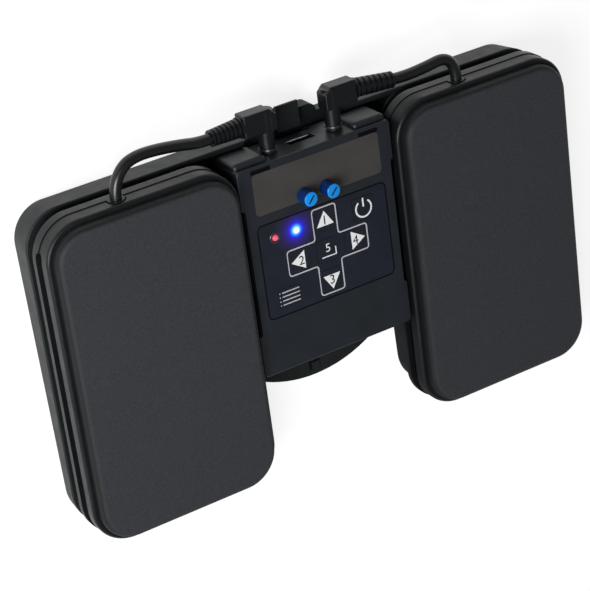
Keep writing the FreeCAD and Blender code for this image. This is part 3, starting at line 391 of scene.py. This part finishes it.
def floor_material():
    """Pale paper with a light of its own where the camera, metal and glass look, and none on the
    object. Between the pedals it lies in their shade, so reflections show it darker there."""
    material, shader, where = new_material("floor_paper")
    cloud = noise(material, where, scale=3.0)
    link(material, ramp(material, cloud, (0.275, 0.275, 0.275), (0.285, 0.285, 0.285)),
         shader.inputs["Base Color"])
    shader.inputs["Roughness"].default_value = 0.9
    shader.inputs["Specular IOR Level"].default_value = 0.2
    shader.inputs["Emission Color"].default_value = (1, 1, 1, 1)
    far = measured(material, where, "DISTANCE", SHADE_PLACE)
    clear = ranged(material, far, start=SHADE_NEAR, stop=SHADE_FAR)
    path = material.node_tree.nodes.new("ShaderNodeLightPath")
    total = path.outputs["Is Camera Ray"]
    for ray in ("Is Transmission Ray", "Is Glossy Ray"):
        seen = calculated(material, "MULTIPLY", path.outputs[ray], clear)
        total = calculated(material, "MAXIMUM", total, seen)
    strength = ranged(material, total, start=0.0, stop=1.0, high=FLOOR_GLOW)
    link(material, strength, shader.inputs["Emission Strength"])
    return material


def make_materials():
    return {
        "pad": pad_material(),
        "shell": moulded("shell_plastic", (0.0050, 0.0062, 0.0072), rough=0.42, grain=1200.0,
                         depth=0.12, gloss=0.30),
        "board": moulded("board_plastic", (0.0075, 0.0100, 0.0110), rough=0.52, grain=1200.0,
                         depth=0.15, gloss=0.30),
        "riser": moulded("riser_foam", (0.003, 0.003, 0.003), rough=0.8, grain=1500.0, depth=0.5,
                         gloss=0.2),
        "foot": moulded("foot_rubber", (0.012, 0.012, 0.012), rough=0.7, grain=1500.0, depth=0.4),
        "case": moulded("case_plastic", (0.0108, 0.0142, 0.0188), rough=0.40, grain=2200.0,
                        depth=0.2, fine=0.00003, gloss=0.4),
        "plate": moulded("plate_film", (0.050, 0.047, 0.044), rough=0.5, grain=1800.0, depth=0.15,
                         fine=0.00002, vary=0.1, gloss=0.3),
        # Near black: painted shade in the latch slots and the catch's slits, and also the colour of
        # the dark line along the overlay's edge.
        "dark": moulded("dark_recess", (0.0010, 0.0012, 0.0015), rough=0.7, grain=1800.0,
                        depth=0.15, gloss=0.1),
        "overlay": overlay_material(),
        "key": moulded("key_film", (0.0078, 0.0110, 0.0195), rough=0.44, grain=2600.0, depth=0.2,
                       fine=0.00003, gloss=0.35),
        "print": moulded("white_print", (0.84, 0.85, 0.86), rough=0.5, grain=2600.0, depth=0.1,
                         vary=0.03),
        "line": moulded("line_print", (0.50, 0.51, 0.54), rough=0.5, grain=2600.0, depth=0.1,
                        vary=0.05),
        "digit": moulded("black_print", (0.008, 0.009, 0.012), rough=0.5, grain=2600.0, depth=0.1,
                         gloss=0.2),
        "knob": moulded("knob_top", (0.002, 0.27, 0.80), rough=0.28, grain=1500.0, depth=0.1,
                        fine=0.00002, vary=0.06),
        # A darker copy of the knob's blue: painted shade on the knob's sides.
        "knob_side_shade": moulded("knob_side_shade", (0.001, 0.030, 0.17), rough=0.26, grain=1500.0,
                             depth=0.1, fine=0.00002),
        # A dark navy: painted shade in the knob's slot.
        "knob_slot": moulded("knob_slot", (0.001, 0.008, 0.04), rough=0.4, grain=1500.0,
                             depth=0.1),
        "cord": moulded("cord_jacket", (0.0035, 0.0040, 0.0050), rough=0.30, grain=700.0,
                        depth=0.1, fine=0.00003),
        "plug": moulded("plug_moulding", (0.0032, 0.0040, 0.0052), rough=0.34, depth=0.15,
                        gloss=0.4),
        "pin": metal("pin_metal", (0.30, 0.30, 0.31), rough=0.3),
        "steel": metal("screw_steel", (0.55, 0.55, 0.57), rough=0.32),
        "socket": metal("socket_steel", (0.10, 0.10, 0.11), rough=0.35),
        # Near white: a painted highlight on the metal edge of the socket's mouth.
        "lip": moulded("socket_lip", (0.85, 0.85, 0.87), rough=0.3, vary=0.05),
        "inner": moulded("inner_plastic", (0.012, 0.012, 0.012), rough=0.5),
        "rubber": moulded("return_rubber", (0.05, 0.05, 0.05), rough=0.7, grain=1500.0, depth=0.4),
        "green": moulded("circuit_green", (0.01, 0.10, 0.04), rough=0.4),
        "cell": metal("cell_foil", (0.6, 0.6, 0.62), rough=0.35),
        "bezel": moulded("lamp_bezel", (0.012, 0.012, 0.013), rough=0.34, grain=1500.0, depth=0.1,
                         gloss=0.8),
        "red": led_material("lamp_red", LED_RED, core=(0.90, 0.10, 0.20), rim=(0.25, 0.015, 0.03),
                            strength=0.55, start=0.3, stop=2.2),
        "blue": led_material("lamp_blue", LED_BLUE, core=(0.75, 0.95, 1.0), rim=(0.03, 0.20, 1.0),
                             strength=1.6, start=0.3, stop=2.0),
    }


def dress_nodes(look):
    """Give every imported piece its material. The seven keys aren't listed and share one."""
    words = {
        "pad": "pad", "upper_shell": "shell", "lower_shell": "shell", "board": "board",
        "riser": "riser", "rubber_feet": "foot", "controller_top": "case",
        "controller_bottom": "case", "label_plate": "plate", "key_overlay": "overlay",
        "cord": "cord", "plug": "plug", "strain_relief": "plug", "plug_pin": "pin",
        "board_screws": "steel", "case_screws": "steel", "hinge_pin": "steel",
        "usb_socket": "socket", "jack_socket": "inner", "trimmer": "knob", "knob": "knob",
        "circuit_board": "green", "sensor_board": "green", "battery": "cell", "magnet": "pin",
        "reed_switch": "pin", "return_blocks": "rubber", "stops": "rubber", "red_led": "red",
        "blue_led": "blue",
    }
    for name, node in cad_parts.items():
        word = name.removeprefix("left_").removeprefix("right_")
        node.data.materials.clear()
        node.data.materials.append(look[words.get(word, "key")])


# Building helpers


def add_object(name, data):
    thing = bpy.data.objects.new(name, data)
    bpy.context.scene.collection.objects.link(thing)
    return thing


def add_piece(name, data, body, material):
    """Put a finished bmesh, drawn in the deck frame, into the scene on a body."""
    mesh = bpy.data.meshes.new(name)
    bmesh.ops.recalc_face_normals(data, faces=data.faces)
    data.to_mesh(mesh)
    data.free()
    mesh.transform(DECK)
    mesh.materials.append(material)
    piece = add_object(name, mesh)
    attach(piece, body)
    return piece


def smooth(piece, angle):
    """Shade a piece smooth, apart from edges sharper than an angle in degrees."""
    for face in piece.data.polygons:
        face.use_smooth = True
    piece.data.set_sharp_from_angle(angle=math.radians(angle))


def ring(data, across, back, radii, level):
    """Points round a place at one height, one for each radius."""
    points = []
    for step, radius in enumerate(radii):
        angle = 2 * math.pi * step / len(radii)
        points.append(data.verts.new((across + radius * math.cos(angle),
                                      back + radius * math.sin(angle), level)))
    return points


def walls(data, rings):
    """Faces between each ring of points and the next."""
    faces = []
    for low, up in zip(rings, rings[1:]):
        for step in range(len(low)):
            after = (step + 1) % len(low)
            faces.append(data.faces.new((low[step], low[after], up[after], up[step])))
    return faces


def prism(data, outline, low, high):
    """A flat plate with any outline, between two heights."""
    bottom = [data.verts.new((x, y, low)) for x, y in outline]
    top = [data.verts.new((x, y, high)) for x, y in outline]
    data.faces.new(bottom[::-1])
    data.faces.new(top)
    walls(data, [bottom, top])


def stroke(data, points, width, low, high, closed):
    """A printed line of even width along points, with mitred corners."""
    points = [Vector(point) for point in points]
    ways = [(after - point).normalized()
            for point, after in zip(points, points[1:] + points[:1])]
    if not closed:
        ways[-1] = ways[-2]
    rings = []
    for step, point in enumerate(points):
        leave = ways[step]
        come = ways[step - 1] if closed or step > 0 else leave
        across = Vector((-(come.y + leave.y), come.x + leave.x)).normalized()
        reach = width / 2 / max(MITRE_LIMIT, across.dot(Vector((-come.y, come.x))))
        left = point + across * reach
        right = point - across * reach
        rings.append([data.verts.new((*left, low)), data.verts.new((*right, low)),
                      data.verts.new((*right, high)), data.verts.new((*left, high))])
    if closed:
        walls(data, rings + rings[:1])
    else:
        walls(data, rings)
        data.faces.new(rings[0][::-1])
        data.faces.new(rings[-1])


def arc(middle, radius, start, stop, steps):
    """Points along part of a circle, with the angles in degrees."""
    across, back = middle
    points = []
    for step in range(steps + 1):
        angle = math.radians(start + (stop - start) * step / steps)
        points.append((across + radius * math.cos(angle), back + radius * math.sin(angle)))
    return points


def rounded_corners(points, radius):
    """An outline with each corner replaced by a short arc."""
    out = []
    count = len(points)
    for step, point in enumerate(points):
        corner = Vector(point)
        before = (Vector(points[step - 1]) - corner).normalized()
        after = (Vector(points[(step + 1) % count]) - corner).normalized()
        start, stop = corner + before * radius, corner + after * radius
        for part in range(CORNER_STEPS + 1):
            share = part / CORNER_STEPS
            first = start.lerp(corner, share)
            second = corner.lerp(stop, share)
            out.append(tuple(first.lerp(second, share)))
    return out


def rounded_box(left, right, front, back, radius):
    corners = [(left, front), (right, front), (right, back), (left, back)]
    return rounded_corners(corners, radius)


# Signs on the keys and the overlay


def printed(name, body, level, material, shapes):
    """One printed sign from plates and lines that lie on a surface at one height."""
    data = bmesh.new()
    for kind, points, width in shapes:
        if kind == "plate":
            prism(data, points, level, level + PRINT_THICK)
        else:
            stroke(data, points, width, level, level + PRINT_THICK, closed=kind == "loop")
    add_piece(name, data, body, material)


def arrow_keys(look):
    """White arrow heads on the four outer keys."""
    corners = [(-ARROW_LONG, -ARROW_HALF), (0, 0), (-ARROW_LONG, ARROW_HALF)]
    for key, (tip, angle) in ARROW_TIPS.items():
        turn = Matrix.Rotation(math.radians(angle), 2)
        points = [tuple(Vector(tip) + turn @ Vector(corner)) for corner in corners]
        printed(key + "_arrow", key, KEY_TOP, look["print"], [("plate", points, 0)])


def digits(look):
    """The numbers 1 to 5, dark on the arrows and white on the middle key."""
    for number, (across, back) in DIGIT_PLACES.items():
        key = "key_%d" % number
        on_arrow = key in ARROW_TIPS
        curve = bpy.data.curves.new(key + "_text", "FONT")
        curve.body = str(number)
        curve.align_x = "CENTER"
        curve.size = DIGIT_SIZE if on_arrow else MIDDLE_DIGIT_SIZE
        curve.extrude = PRINT_THICK / 2
        curve.resolution_u = 4
        holder = add_object(key + "_text", curve)
        mesh = bpy.data.meshes.new_from_object(holder)
        bpy.data.objects.remove(holder)
        low = min(corner.co.y for corner in mesh.vertices)
        high = max(corner.co.y for corner in mesh.vertices)
        level = (ARROW_TOP if on_arrow else KEY_TOP) + PRINT_THICK / 2
        mesh.transform(DECK @ Matrix.Translation((across, back - (low + high) / 2, level)))
        mesh.materials.clear()
        mesh.materials.append(look["digit"] if on_arrow else look["print"])
        piece = add_object(key + "_digit", mesh)
        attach(piece, key)


def overlay_signs(look):
    """The cross line round the arrow keys, and the return, power and menu signs."""
    cross = []
    for turn in range(4):
        swing = Matrix.Rotation(math.radians(-90 * turn), 2)
        for corner in ((CROSS_ARM, CROSS_ARM), (CROSS_REACH, CROSS_ARM), (CROSS_REACH, -CROSS_ARM)):
            cross.append(tuple(Vector(CROSS_MIDDLE) + swing @ Vector(corner)))
    printed("cross_line", "controller", FACE, look["line"],
            [("loop", rounded_corners(cross, CROSS_CORNER), CROSS_LINE)])
    printed("return_sign", "key_5", KEY_TOP, look["print"],
            [("line", RETURN_SIGN, THIN_LINE)])
    across, back = POWER_MIDDLE
    circle = arc(POWER_MIDDLE, POWER_RADIUS, POWER_START, POWER_STOP, POWER_STEPS)
    bar = [(across, back + rise) for rise in POWER_BAR]
    printed("power_sign", "key_power", KEY_TOP, look["print"],
            [("line", circle, POWER_LINE), ("line", bar, POWER_LINE)])
    rows = []
    for row in MENU_ROWS:
        dot = arc((MENU_DOT, row), MENU_DOT_RADIUS, 0, MENU_DOT_STOP, MENU_DOT_STEPS)
        rows.append(("line", [(MENU_LEFT, row), (MENU_RIGHT, row)], THIN_LINE))
        rows.append(("plate", dot, 0))
    printed("menu_sign", "key_menu", KEY_TOP, look["line"], rows)


# Knobs and trim


def knobs(look):
    """Two knurled trim knobs with a screwdriver slot in a domed top. Their sides take a darker copy
    of the blue as painted shade, and the slot is a dark block painted as the groove's shade.
    """
    turn = Matrix.Rotation(SLOT_TURN, 2)
    corners = [(-SLOT_HALF, -SLOT_SIDE), (SLOT_HALF, -SLOT_SIDE), (SLOT_HALF, SLOT_SIDE),
               (-SLOT_HALF, SLOT_SIDE)]
    for side, across in KNOB_PLACES.items():
        data = bmesh.new()
        rings = []
        for level, share, ribbed in KNOB_LEVELS:
            radius = KNOB_RADIUS * share
            groove = radius - (RIB_DEEP if ribbed else 0.0)
            rings.append(ring(data, across, KNOB_BACK, [radius, groove] * KNOB_RIBS, level))
        data.faces.new(rings[0][::-1])
        data.faces.new(rings[-1])
        walls(data, rings)
        piece = add_piece(side + "_knob_grip", data, side + "_knob", look["knob"])
        piece.data.materials.append(look["knob_side_shade"])
        # Faces that point up keep the blue; the others take the darker copy, painted shade.
        for face in piece.data.polygons:
            face.material_index = 0 if face.normal.z > KNOB_TOP_SLOPE else 1
        smooth(piece, KNOB_SHARP)
        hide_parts(side + "_knob")
        # The slot: a dark block whose colour paints the shade in the groove.
        slot = bmesh.new()
        outline = [tuple(Vector((across, KNOB_BACK)) + turn @ Vector(corner))
                   for corner in corners]
        prism(slot, outline, SLOT_FLOOR, SLOT_TOP)
        add_piece(side + "_knob_slot", slot, side + "_knob", look["knob_slot"])


def lamp_bezel(look):
    """The small dark ring round the foot of the red lamp."""
    data = bmesh.new()
    rings = [ring(data, LED_RED, LED_BACK, [LED_RADIUS + beyond] * BEZEL_SIDES, FACE + rise)
             for beyond, rise in BEZEL_PROFILE]
    walls(data, rings + rings[:1])
    piece = add_piece("red_lamp_bezel", data, "controller", look["bezel"])
    smooth(piece, BEZEL_SHARP)


def overlay_edge(look):
    """The dark line along the overlay's edge."""
    border = rounded_box(-BORDER_HALF, BORDER_HALF, BORDER_FRONT, BORDER_BACK, BORDER_CORNER)
    printed("overlay_edge", "controller", FACE, look["dark"],
            [("loop", border, BORDER_LINE)])


def fill(data, sign, inner, outer, front, back, corner, floor, top):
    """A filling for a slot on one side, which stands in as painted shade, with a small gap to the
    slot's walls.
    """
    left, right = sorted((sign * (inner + FILL_GAP), sign * (outer - FILL_GAP)))
    outline = rounded_box(left, right, front + FILL_GAP, back - FILL_GAP, corner)
    prism(data, outline, floor, top)


def dark_slots(look):
    """The dark fillings of the latch slots and of the catch's slits: painted shade inside them."""
    slits = bmesh.new()
    for side, sign in SIDES:
        fill(slits, sign, SLIT_INNER, SLIT_OUTER, SLIT_FRONT, SLIT_BACK, FINE_CORNER,
             SLIT_FLOOR, SLIT_FILL)
        latch = bmesh.new()
        fill(latch, sign, LATCH_INNER, LATCH_OUTER, LATCH_FRONT, LATCH_BACK, LATCH_CORNER,
             LATCH_FLOOR, LATCH_FILL)
        add_piece(side + "_latch_shade", latch, "controller", look["dark"])
    add_piece("catch_slit_shade", slits, "board", look["dark"])


def socket_lip(look):
    # A white plate along the socket's mouth, a painted highlight on its metal edge.
    data = bmesh.new()
    outline = rounded_box(LIP_LEFT, LIP_RIGHT, LIP_FRONT, LIP_BACK, FINE_CORNER)
    prism(data, outline, LIP_FLOOR, LIP_TOP)
    add_piece("socket_lip", data, "controller", look["lip"])


def return_blocks(look):
    """The rubber blocks that push each pedal up."""
    front, back = RETURN_BACK - RETURN_HALF, RETURN_BACK + RETURN_HALF
    for side, sign in SIDES:
        data = bmesh.new()
        for aside in (-RETURN_SIDE, RETURN_SIDE):
            middle = sign * PEDAL_OFFSET + aside
            outline = rounded_box(middle - RETURN_HALF, middle + RETURN_HALF, front, back,
                                  RETURN_CORNER)
            prism(data, outline, TRAY, ROOF)
        piece = add_piece(side + "_return_rubbers", data, "board", look["rubber"])
        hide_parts(side + "_return_blocks")
        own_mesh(piece)


# Cords


def cords(look):
    """Each cord from its strain relief to the gland in its pedal, as one smooth curve."""
    for side, route in CORD_ROUTES.items():
        places = [DECK @ Vector(place) for place in route]
        curve = bpy.data.curves.new(side + "_lead", "CURVE")
        curve.dimensions = "3D"
        curve.bevel_depth = CORD_DIAMETER / 2 * MM
        curve.bevel_resolution = 8
        curve.resolution_u = 16
        curve.use_fill_caps = True
        spline = curve.splines.new("NURBS")
        spline.points.add(len(places) - 1)
        for point, place in zip(spline.points, places):
            point.co = (*place, 1)
        spline.order_u = 3
        spline.use_endpoint_u = True
        curve.materials.append(look["cord"])
        piece = add_object(side + "_lead", curve)
        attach(piece, "board")
        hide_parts(side + "_cord")


# Stage, light and camera


def stage():
    """A white floor that takes the shadow and rises to a low white wall all round."""
    data = bmesh.new()
    rings = [ring(data, 0, 0, [radius] * FLOOR_SIDES, height) for radius, height in FLOOR_PROFILE]
    data.faces.new(rings[0])
    for face in walls(data, rings):
        face.smooth = True
    mesh = bpy.data.meshes.new("floor")
    data.to_mesh(mesh)
    data.free()
    mesh.materials.append(floor_material())
    add_object("floor", mesh)

    world = bpy.data.worlds.new("studio")
    bpy.context.scene.world = world
    world.use_nodes = True
    back = world.node_tree.nodes["Background"]
    back.inputs["Color"].default_value = (1, 1, 1, 1)
    back.inputs["Strength"].default_value = WORLD_LIGHT


def studio_lamp():
    """One square lamp on the left."""
    lamp = bpy.data.lights.new("left_softbox", "AREA")
    lamp.shape = "SQUARE"
    lamp.size = LAMP_SIZE
    lamp.energy = LAMP_POWER
    holder = add_object("left_softbox", lamp)
    holder.location = LAMP_PLACE
    holder.rotation_euler = (-Vector(LAMP_PLACE)).to_track_quat("-Z", "Y").to_euler()


def camera():
    lens = bpy.data.cameras.new("camera")
    lens.lens = CAMERA_LENS
    lens.clip_end = CAMERA_REACH
    holder = add_object("camera", lens)
    holder.location = CAMERA_PLACE
    level = (Vector(CAMERA_AIM) - Vector(CAMERA_PLACE)).to_track_quat("-Z", "Y")
    turn = level @ Quaternion((0, 0, 1), CAMERA_ROLL)
    holder.rotation_euler = turn.to_euler()
    bpy.context.scene.camera = holder


camera()
stage()
studio_lamp()
look = make_materials()
dress_nodes(look)
cords(look)
arrow_keys(look)
digits(look)
overlay_signs(look)
knobs(look)
lamp_bezel(look)
overlay_edge(look)
dark_slots(look)
socket_lip(look)
return_blocks(look)

bpy.context.scene.view_settings.view_transform = "Standard"
